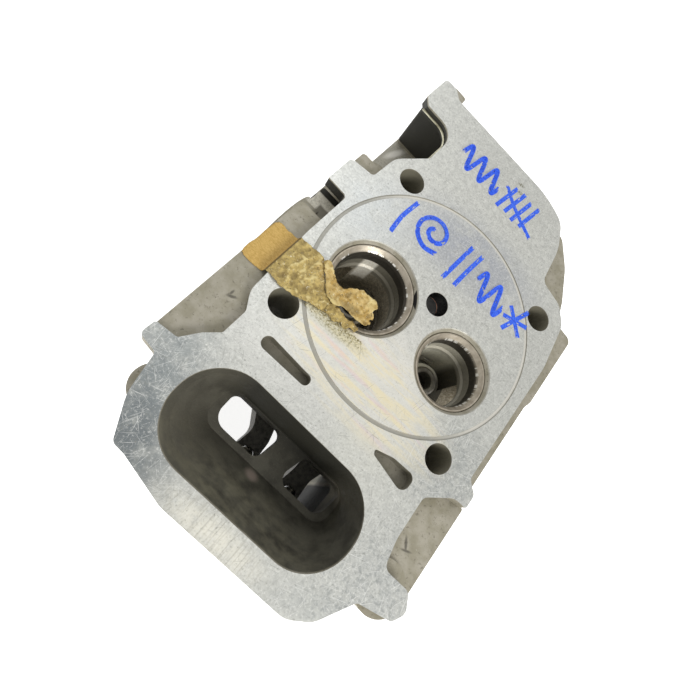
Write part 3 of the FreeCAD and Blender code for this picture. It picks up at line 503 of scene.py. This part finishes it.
    # the two shallow pockets, and near-black painted shade inside the rocker box
    pockets = look.both(look.either(look.patch(-23, -50, 13, 4.5, 0, 0.1),
                                    look.patch(26, -50.5, 11, 6, 0, 0.1)),
                        look.step(look.z, -0.35, -0.8))
    box_shade = look.both(look.patch(24, -67, 20, 9, 0, 0.1), look.step(look.z, -44.0, -47.0),
                    look.step(look.z, -83.0, -80.0))

    milled, scratches = milled_deck(look)
    base = look.mix(look.times(pockets, 0.45), skin, colour("4a483e"))
    # painted shade in the hollow and on the lug's wall, painted light on the step, and painted
    # highlights on the shelf and the low strip by the lug
    base = look.mix(scoop_shade, base, colour("33322b"))
    base = look.mix(shelf, base, look.mix(speckle, colour("c4c0b2"), colour("a39f90")))
    base = look.mix(lit_tread, base, look.mix(speckle, colour("dcd8ca"), colour("b9b5a7")))
    base = look.mix(notch_shade, base, colour("2b2a24"))
    base = look.mix(look.times(look.either(shelf_highlight, strip_highlight), 0.85), base, colour("fbf8ee"))
    base = look.mix(chamber, base, soot_and_light)
    base = look.mix(ports, base, carbon_and_light)
    # near-black painted shade inside the rocker box
    base = look.mix(box_shade, base, colour("121210"))
    base = look.mix(wells, base, colour("8a8676"))
    # the injector's hole painted black as shade
    base = look.mix(nozzle_shade, base, colour("040404"))
    base = look.mix(deck, base, milled)
    fine = look.noise(0.3, 2.0)
    relief = look.bump(look.mix(deck, grain, look.times(fine, 0.12)), 0.12, 0.5)
    relief = look.bump(look.mix(deck, lumps, 0.5), 0.5, 0.45, under=relief)
    return look.finish(base, look.level(deck, 0.62, look.level(scratches, 0.42, 0.3)),
                       look.level(deck, 0.25, 0.55), relief)


def metal(name, dark, light, roughness, metallic=1.0, size=2.0, depth=0.03):
    """A plain material with blotches of about size millimetres and relief of depth."""
    look = Look(name, metallic, roughness)
    blotches = look.noise(size, 4.0, 0.6)
    tone = look.mix(look.step(blotches, 0.3, 0.7), colour(dark), colour(light))
    rough = look.level(look.noise(size / 3, 3.0), roughness - 0.1, roughness + 0.12)
    return look.finish(tone, rough, normal=look.bump(look.noise(size / 5, 3.0), depth, 0.5))


def seat_steel():
    """Turned rings with a stained face, a dark bore and painted glints in dashes round the edge
    between.
    """
    look = Look("seat_steel", 0.6, 0.38)
    tone = look.mix(look.step(look.noise(2.5, 4.0), 0.3, 0.7), colour("aca291"), colour("c9c0b0"))
    for middle, outer in ((INTAKE, INTAKE_R), (EXHAUST, EXHAUST_R)):
        away = look.distance(middle.x, middle.y)
        near = look.step(away, outer + 1.0, outer + 0.6)
        bore = look.both(near, look.step(away, outer - 2.2, outer - 2.5))
        tone = look.mix(look.times(bore, 0.9), tone, colour("35332d"))
        joint = look.both(near, look.step(away, outer - 0.5, outer - 0.2))
        tone = look.mix(look.times(joint, 0.6), tone, colour("6b675c"))
        # painted glints in dashes round the inner edge, over a darker band
        rim = look.both(look.step(away, outer - 2.55, outer - 2.4),
                        look.step(away, outer - 1.95, outer - 2.15))
        glints = look.step(look.dashes(middle.x, middle.y, 0.16), 0.5, 0.56)
        tone = look.mix(look.both(rim, look.inverse(glints), 0.35), tone, colour("6b675c"))
        tone = look.mix(look.both(rim, glints), tone, colour("fffdf6"))
    return look.finish(tone, look.level(look.noise(0.7, 3.0), 0.3, 0.5),
                       normal=look.bump(look.noise(0.4, 3.0), 0.03, 0.5))


def paper_tape():
    """Gold masking tape: clean on the ledge, dirty and speckled where it is crumpled, with painted
    shade in its creases and where it climbs from the ledge, and painted highlights on its ridges.
    """
    look = Look("tape", 0.0, 0.8)
    fibres = look.noise(0.45, 3.0, 0.6, where=look.scaled(look.place, (0.5, 1.4, 1)))
    clean = look.mix(look.step(fibres, 0.3, 0.7), colour("b8954e"), colour("d3b169"))
    soiled = look.mix(look.step(look.noise(1.8, 5.0, 0.7), 0.35, 0.62), colour("9a8550"),
                      colour("c6af6c"))
    inner = look.patch(-22.0, -18.5, 15, 6.0, -8, 0.35)
    soiled = look.mix(look.times(inner, 0.8), soiled,
                      look.mix(look.step(look.noise(2.0, 4.0), 0.35, 0.65), colour("b18e47"),
                               colour("dcc183")))
    soiled = look.mix(look.times(look.step(look.noise(0.7, 3.0, 0.6), 0.58, 0.7), 0.8), soiled,
                      colour("5d4f35"))
    pale = look.noise(0.8, 3.0, 0.7, where=look.scaled(look.place, (1, 1, 1), shift=(31, 7, 3)))
    soiled = look.mix(look.step(pale, 0.62, 0.7), soiled, colour("e6dfc4"))
    attribute = look.tree.nodes.new("ShaderNodeAttribute")
    attribute.attribute_name = "fold_and_shade"
    fold_and_shade = attribute.outputs["Fac"]
    # painted shade in the creases and painted highlights on the ridges
    soiled = look.mix(look.times(look.step(fold_and_shade, 0.4, 0.0), 0.5), soiled, colour("6d5d38"))
    soiled = look.mix(look.times(look.step(fold_and_shade, 0.6, 0.9), 0.75), soiled, colour("e6d598"))
    # a dark band of painted shade where the tape climbs from the ledge onto the deck
    gap = look.both(look.step(look.x, -49.1, -48.8), look.step(look.x, -48.0, -48.4))
    tone = look.mix(look.step(look.x, -48.8, -48.2), clean, soiled)
    tone = look.mix(look.times(gap, 0.75), tone, colour("453a24"))
    return look.finish(tone, 0.8, normal=look.bump(look.noise(0.5, 4.0, 0.7), 0.15, 0.6))


def marker_ink():
    look = Look("marker_ink", 0.0, 0.45)
    patchy = look.step(look.noise(0.8, 3.0), 0.35, 0.65)
    return look.finish(look.mix(patchy, colour("2450d8"), colour("3f72f7")), 0.45)


def grit():
    look = Look("tape_grit", 0.0, 0.8)
    return look.finish(look.mix(look.step(look.noise(1.2, 3.0), 0.4, 0.6), colour("8f8560"),
                                colour("cfc7a6")), 0.8)


MATERIALS = {
    "cast_aluminium": cast_aluminium(),
    "seat_steel": seat_steel(),
    "guide_iron": metal("guide_iron", "6b675e", "8f8b80", 0.5, 0.6),
    "seal_rubber": metal("seal_rubber", "1f211f", "2c2f2c", 0.7, 0.0),
    "spring_steel": metal("spring_steel", "8d8f90", "b9bbbc", 0.3),
    "copper": metal("copper", "a5603f", "c98560", 0.38),
    "plated_steel": metal("plated_steel", "a8a48c", "cfcbb4", 0.35),
    "pedestal_iron": metal("pedestal_iron", "4c4b48", "6b6a66", 0.62, 0.6, 1.2, 0.1),
    "black_steel": metal("black_steel", "2c2c2d", "424345", 0.45, 0.8),
    "ground_steel": metal("ground_steel", "b4b6b7", "d8dadb", 0.22, 1.0, 4.0, 0.01),
    "forged_steel": metal("forged_steel", "5c5a57", "838179", 0.5, 0.8, 1.5, 0.08),
    "bronze": metal("bronze", "a07b3c", "c49d58", 0.32),
    "tape": paper_tape(),
}
INK = marker_ink()
GRIT = grit()


def paint_nodes():
    """Gives every CAD node the material of its slot in the record."""
    for entry in frame["record"]["subparts"]:
        thing = frame["nodes"][entry["node"]]
        thing.data.materials.clear()
        thing.data.materials.append(MATERIALS[entry["material_slot"]])


# ---- mesh helpers ----------------------------------------------------------
def new_piece(name, bm, material, body=HEAD, smooth=True):
    """Turns bm, whose vertices are in metres, into a piece that rides on body."""
    mesh = bpy.data.meshes.new(name)
    bm.to_mesh(mesh)
    bm.free()
    mesh.materials.append(material)
    for face in mesh.polygons:
        face.use_smooth = smooth
    piece = bpy.data.objects.new(name, mesh)
    bpy.context.scene.collection.objects.link(piece)
    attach(piece, body)
    return piece


def inside(x, y, outline):
    """Is the point within a closed outline of (x, y) corners?"""
    within = False
    for (ax, ay), (bx, by) in zip(outline, outline[1:] + outline[:1]):
        if (ay > y) != (by > y) and x < ax + (y - ay) * (bx - ax) / (by - ay):
            within = not within
    return within


def nearest(x, y, outline):
    """The point of the outline nearest to (x, y)."""
    here = Vector((x, y))
    best = None
    for a, b in zip(outline, outline[1:] + outline[:1]):
        a, b = Vector(a), Vector(b)
        share = min(1.0, max(0.0, (here - a).dot(b - a) / (b - a).length_squared))
        point = a.lerp(b, share)
        if best is None or (point - here).length < (best - here).length:
            best = point
    return best


def curved(points, per_span=6, closed=True):
    """Points along a smooth line through the given ones."""
    count = len(points)
    spans = count if closed else count - 1
    line = []
    for i in range(spans):
        four = [points[(i + k) % count] if closed else points[min(max(i + k, 0), count - 1)]
                for k in (-1, 0, 1, 2)]
        a, b, c, d = (Vector(p) for p in four)
        for step in range(per_span):
            t = step / per_span
            line.append(tuple(0.5 * (2 * b + (c - a) * t + (2 * a - 5 * b + 4 * c - d) * t ** 2
                                     + (3 * b - a - 3 * c + d) * t ** 3)))
    if not closed:
        line.append(tuple(points[-1]))
    return line


def paper(name, outline, height, cell):
    """A thin sheet over an outline in millimetres; height(x, y) gives its lower face and the
    amount of painted crease shade and ridge highlight.
    """
    low_x, low_y = (min(p[i] for p in outline) for i in (0, 1))
    high_x, high_y = (max(p[i] for p in outline) for i in (0, 1))
    columns, rows = int((high_x - low_x) / cell) + 2, int((high_y - low_y) / cell) + 2
    bm = bmesh.new()
    fold_and_shade = bm.verts.layers.float.new("fold_and_shade")
    grid = {}

    def corner(i, j):
        if (i, j) not in grid:
            # corners outside the outline, or nearly on it, are pulled onto it
            x, y = low_x + i * cell, low_y + j * cell
            edge = nearest(x, y, outline)
            if not inside(x, y, outline) or (edge - Vector((x, y))).length < 0.4 * cell:
                x, y = edge
            z, shade_amount = height(x, y)
            grid[i, j] = bm.verts.new((x * MM, y * MM, z * MM))
            grid[i, j][fold_and_shade] = shade_amount
        return grid[i, j]

    for i in range(columns):
        for j in range(rows):
            middle = (low_x + (i + 0.5) * cell, low_y + (j + 0.5) * cell)
            if inside(*middle, outline):
                bm.faces.new([corner(i, j), corner(i + 1, j), corner(i + 1, j + 1),
                              corner(i, j + 1)])
    bmesh.ops.remove_doubles(bm, verts=bm.verts, dist=0.02 * MM)
    made = bmesh.ops.extrude_face_region(bm, geom=bm.faces[:])
    top = [v for v in made["geom"] if isinstance(v, bmesh.types.BMVert)]
    bmesh.ops.translate(bm, verts=top, vec=(0, 0, PAPER_T * MM))
    bmesh.ops.recalc_face_normals(bm, faces=bm.faces)
    return new_piece(name, bm, MATERIALS["tape"])


def crease(x, y, size, turn=0.0):
    """At most 1, with sharp ridges about size millimetres apart."""
    angle = math.radians(turn)
    place = Vector((x * math.cos(angle) + y * math.sin(angle),
                    y * math.cos(angle) - x * math.sin(angle), turn)) / size
    return 1 - abs(noise.noise(place)) * 2.2


def between(value, low, high):
    """0 up to low, 1 from high and smooth between."""
    share = min(1.0, max(0.0, (value - low) / (high - low)))
    return share * share * (3 - 2 * share)


# ---- the casting, with its edges broken ------------------------------------
def soften_casting():
    """A copy of the casting whose sharp edges are broken, as on the real one."""
    bm = bmesh.new()
    bm.from_mesh(frame["nodes"]["head_casting"].data)
    bmesh.ops.remove_doubles(bm, verts=bm.verts, dist=0.001 * MM)
    bmesh.ops.dissolve_limit(bm, angle_limit=math.radians(1.0), verts=bm.verts, edges=bm.edges)
    sharp = [e for e in bm.edges
             if len(e.link_faces) == 2 and e.calc_face_angle() > SHARP]
    bmesh.ops.bevel(bm, geom=sharp, offset=EDGE_BREAK * MM, offset_type="OFFSET", segments=2,
                    profile=0.5, affect="EDGES", clamp_overlap=True)
    bmesh.ops.recalc_face_normals(bm, faces=bm.faces)
    piece = new_piece("cast_head", bm, MATERIALS["cast_aluminium"], smooth=False)
    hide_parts("head_casting")


# ---- masking tape ----------------------------------------------------------
# Outlines seen from above, in millimetres: the strip, the flap folded over it and the torn end.
STRIP = [
    (-58.2, -33.0), (-58.4, -26.0), (-58.0, -16.2), (-53.5, -15.6), (-49.2, -15.2),
    (-45.2, -15.5), (-41.4, -14.7), (-37.4, -15.3), (-35.4, -17.6), (-33.6, -19.8),
    (-29.8, -23.4), (-26.4, -25.0), (-25.0, -28.2), (-27.4, -29.5), (-30.9, -30.3),
    (-33.9, -31.8), (-38.2, -33.0), (-41.4, -33.5), (-45.0, -33.2), (-48.0, -33.0),
    (-53.0, -33.5),
]
FLAP = [
    (-37.4, -15.4), (-35.2, -14.6), (-32.0, -16.8), (-29.0, -18.2), (-26.4, -17.9),
    (-24.2, -15.6), (-21.6, -13.6), (-18.0, -13.5), (-15.6, -13.0), (-13.4, -14.4),
    (-13.9, -16.4), (-11.9, -18.2), (-12.6, -19.4), (-11.6, -20.4), (-13.6, -22.8),
    (-17.6, -23.6), (-21.6, -23.2), (-25.2, -25.4), (-29.2, -24.4), (-33.0, -20.6),
    (-36.0, -17.8),
]
TORN = [
    (-26.6, -25.2), (-23.6, -24.0), (-19.0, -24.6), (-15.6, -23.6), (-13.4, -24.6),
    (-14.0, -26.2), (-16.0, -26.4), (-16.8, -28.2), (-19.6, -27.6), (-21.0, -29.2),
    (-23.6, -28.4), (-25.6, -28.6),
]


def ragged(outline, amount, seed):
    """The outline with a torn edge."""
    draw = random.Random(seed)
    line = curved(outline, 5)
    return [(x + draw.uniform(-amount, amount), y + draw.uniform(-amount, amount))
            for x, y in line]


def strip_height(x, y):
    step = between(x, -49.4, -48.3)
    base = LEDGE_TOP + 0.06 + step * (-LEDGE_TOP + 0.04)
    rumple = between(x, -48.2, -45.0)
    waves = 0.12 * (1 + noise.noise(Vector((x * 0.18, y * 0.18, 2))))
    fold_and_shade = max(0.0, 0.45 * crease(x, y, 4.2, 25) + 0.35 * crease(x, y, 2.2, -50)
               + 0.2 * crease(x, y, 1.2, 70))
    return base + waves + 0.95 * rumple * fold_and_shade, 0.5 + rumple * (fold_and_shade - 0.5)


def flap_height(x, y):
    along = between(x, -37, -12)
    trough = math.exp(-((y + 19.5) / 2.4) ** 2) * between(x, -32, -26)
    fold_and_shade = max(0.0, 0.6 * crease(x, y, 5.0, 10) + 0.4 * crease(x, y, 2.2, -60))
    return 1.25 + 0.5 * along - 1.1 * trough + 0.9 * fold_and_shade, min(fold_and_shade, 0.8) - 0.3 * trough


def torn_height(x, y):
    fold_and_shade = max(0.0, 0.6 * crease(x, y, 2.6, 40) + 0.4 * crease(x, y, 1.3, -20))
    return 0.3 + 0.9 * fold_and_shade, 0.7 * fold_and_shade


def make_tape():
    strip = paper("tape_strip", ragged(STRIP, 0.12, 3), strip_height, 0.45)
    flap = paper("tape_flap", ragged(FLAP, 0.22, 5), flap_height, 0.4)
    torn = paper("tape_torn_end", ragged(TORN, 0.3, 7), torn_height, 0.4)
    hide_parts("masking_tape")


def crumbs():
    """Low cones of paper and glue left beside the tape."""
    draw = random.Random(11)
    bm = bmesh.new()
    for _ in range(240):
        x = draw.uniform(-32, -9)
        y = -30.2 + (x + 32) * 0.12 - abs(draw.gauss(0, 1.1)) + 0.8
        if (Vector((x, y)) - INTAKE.xy).length < INTAKE_R + 0.8:
            continue
        size = draw.uniform(0.12, 0.45)
        turn = draw.uniform(0, math.tau)
        corners = draw.randint(4, 6)
        ring = [(x + size * draw.uniform(0.6, 1.2) * math.cos(turn + math.tau * k / corners),
                 y + size * draw.uniform(0.6, 1.2) * math.sin(turn + math.tau * k / corners))
                for k in range(corners)]
        low = [bm.verts.new((a * MM, b * MM, 0.0)) for a, b in ring]
        peak = bm.verts.new((x * MM, y * MM, draw.uniform(0.08, 0.3) * MM))
        bm.faces.new(low[::-1])
        for a, b in zip(low, low[1:] + low[:1]):
            bm.faces.new([a, b, peak])
    piece = new_piece("tape_crumbs", bm, GRIT, smooth=False)


# ---- marker strokes --------------------------------------------------------
def wave(x, y, length, height, turns, turn=0.0):
    """A squiggle from (x, y), heading turn degrees from X."""
    angle = math.radians(turn)
    line = []
    for i in range(turns * 8 + 1):
        along, across = length * i / (turns * 8), height * math.sin(math.pi * i / 4)
        line.append((x + along * math.cos(angle) - across * math.sin(angle),
                     y + along * math.sin(angle) + across * math.cos(angle)))
    return line


def spiral(x, y, radius, turns):
    """A coil that grows to radius round (x, y)."""
    count = int(turns * 8)
    return [(x + radius * (i / count) * math.cos(math.tau * i / 8),
             y + radius * (i / count) * math.sin(math.tau * i / 8)) for i in range(2, count + 1)]


def strokes():
    """Squiggles, bars, a coil and a cross, with no letter or digit among them."""
    lines = [wave(-31.0, 67.0, 21.0, 5.6, 3, 4)]
    lines += [[(x, 60.0 + lean), (x + 2.4, 76.0 + lean)]
              for x, lean in ((-6.5, 0.0), (-2.2, 1.0), (2.1, 0.2), (6.4, 1.2))]
    lines += [[(-8.5, 73.0), (0.0, 67.4), (13.5, 61.6)]]
    lines += [[(-29.0, 13.0), (-29.9, 22.0), (-29.2, 31.8)]]
    lines += [spiral(-16.6, 27.6, 8.8, 1.9)]
    lines += [[(-3.4, 15.6), (-2.8, 25.0), (-2.0, 36.6)], [(1.8, 17.0), (2.4, 27.0), (3.4, 37.0)]]
    lines += [wave(7.4, 26.8, 15.0, 6.0, 2, 2)]
    lines += [[(26.4, 19.4), (32.0, 35.0)], [(24.0, 31.4), (34.4, 22.6)],
              [(23.6, 25.0), (35.0, 29.0)]]
    return lines


def make_marks(width=1.75, bristles=6):
    """Each stroke is a bundle of dry bristle tracks, and no two lengths of one are level."""
    draw = random.Random(21)
    bm = bmesh.new()
    for points in strokes():
        line = curved(points, 14, closed=False)
        top = INK_SINK
        length = sum((Vector(b) - Vector(a)).length for a, b in zip(line, line[1:]))
        for track in range(bristles):
            offset = (track / (bristles - 1) - 0.5) * (width - 0.34)
            start, end = draw.uniform(0, 0.03), 1 - draw.uniform(0, 0.05)
            travelled = 0.0
            previous = None
            for a, b in zip(line, line[1:]):
                a, b = Vector(a), Vector(b)
                share = travelled / length
                travelled += (b - a).length
                gap = noise.noise(Vector((share * length * 0.55, track * 0.45, points[0][0])))
                if (b - a).length < 1e-6 or share < start or share > end or gap > 0.42:
                    previous = None
                    continue
                side = Vector((a.y - b.y, b.x - a.x)).normalized()
                half = 0.19 + 0.03 * noise.noise(Vector((travelled, track, 5)))
                top += INK_RISE
                if previous is None:
                    previous = ring_of(bm, a, side, offset, half, top)
                    bm.faces.new(previous)
                now = ring_of(bm, b, side, offset, half, top)
                for k in range(4):
                    bm.faces.new([previous[k], previous[(k + 1) % 4], now[(k + 1) % 4], now[k]])
                previous = now
    bmesh.ops.holes_fill(bm, edges=bm.edges, sides=4)
    bmesh.ops.recalc_face_normals(bm, faces=bm.faces)
    new_piece("marker_strokes", bm, INK, smooth=False)


def ring_of(bm, place, side, offset, half, top):
    """The four corners of a bristle track's section."""
    left, right = place + side * (offset - half), place + side * (offset + half)
    return [bm.verts.new((p.x * MM, p.y * MM, z * MM))
            for p, z in ((left, -INK_SINK), (right, -INK_SINK), (right, top), (left, top))]


# ---- rolled edge and threads -----------------------------------------------
def tube(name, line, radius, material, sides=8):
    """A round bar along a line of points, all in millimetres."""
    bm = bmesh.new()
    rings = []
    for i, place in enumerate(line):
        ahead = (line[min(i + 1, len(line) - 1)] - line[max(i - 1, 0)]).normalized()
        out = ahead.cross(Vector((0, 0, 1))).normalized()
        up = out.cross(ahead)
        rings.append([bm.verts.new((place + (out * math.cos(math.tau * k / sides)
                                             + up * math.sin(math.tau * k / sides)) * radius) * MM)
                      for k in range(sides)])
    for one, other in zip(rings, rings[1:]):
        for k in range(sides):
            bm.faces.new([one[k], one[(k + 1) % sides], other[(k + 1) % sides], other[k]])
    bm.faces.new(rings[0][::-1])
    bm.faces.new(rings[-1])
    bmesh.ops.recalc_face_normals(bm, faces=bm.faces)
    return new_piece(name, bm, material)


def make_lip():
    """Rolled edge under the deck around its cut-out at the intake end."""
    wall_x, wall_y, corner, low = -38.5, 69.5, 8.0, -3.1
    bend = Vector((wall_x - corner, wall_y - corner, low))
    line = [Vector((-55.0, wall_y, low)), Vector((wall_x - corner, wall_y, low))]
    for turn in (math.pi / 2 * k / 10 for k in range(1, 11)):
        line.append(bend + corner * Vector((math.sin(turn), math.cos(turn), 0)))
    line.append(Vector((wall_x, 53.0, low)))
    tube("cast_lip", line, 0.5, MATERIALS["plated_steel"])


def thread(name, start, axis, radius, length, pitch, material, body=HEAD):
    """A vee ridge wound round a rod; start and lengths in millimetres."""
    axis = Vector(axis).normalized()
    side = axis.orthogonal().normalized()
    other = axis.cross(side)
    foot, half, crest, steps = radius - 0.1, 0.42 * pitch, radius + 0.22 * pitch, 18
    bm = bmesh.new()
    previous = None
    for i in range(int(length / pitch * steps) + 1):
        angle = math.tau * i / steps
        out = side * math.cos(angle) + other * math.sin(angle)
        at = start + axis * (pitch * i / steps)
        now = [bm.verts.new((at + out * foot - axis * half) * MM),
               bm.verts.new((at + out * crest) * MM),
               bm.verts.new((at + out * foot + axis * half) * MM)]
        if previous is None:
            bm.faces.new(now)
        else:
            for k in range(3):
                bm.faces.new([previous[k], previous[(k + 1) % 3], now[(k + 1) % 3], now[k]])
        previous = now
    bm.faces.new(previous[::-1])
    bmesh.ops.recalc_face_normals(bm, faces=bm.faces)
    return new_piece(name, bm, material, body, smooth=False)


def make_threads():
    tilt = math.radians(INJECTOR_TILT)
    axis = Vector((0, math.sin(tilt), -math.cos(tilt)))
    begin, end = STUD_THREAD
    for name, side in (("intake_side", -1), ("exhaust_side", 1)):
        start = Vector((INJECTOR[0] + side * STUD_X, INJECTOR[1], 0)) + axis * begin
        piece = thread("stud_thread_" + name, start, axis, STUD_R, end - begin, 1.0,
                       MATERIALS["plated_steel"])
    for side in ("intake", "exhaust"):
        screw = side + "_adjuster_screw"
        middle = centre(screw) / MM
        nut_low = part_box(side + "_adjuster_locknut")[0].z / MM
        start = Vector((middle.x, middle.y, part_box(screw)[0].z / MM + 0.9))
        piece = thread(side + "_adjuster_thread", start, (0, 0, 1), radius_of(screw) / MM - 0.3,
                       nut_low - start.z - 0.3, 0.75, MATERIALS["ground_steel"], side + "_rocker")


set_camera()
set_light()
make_floor()
paint_nodes()
soften_casting()
make_lip()
make_threads()
make_tape()
crumbs()
make_marks()
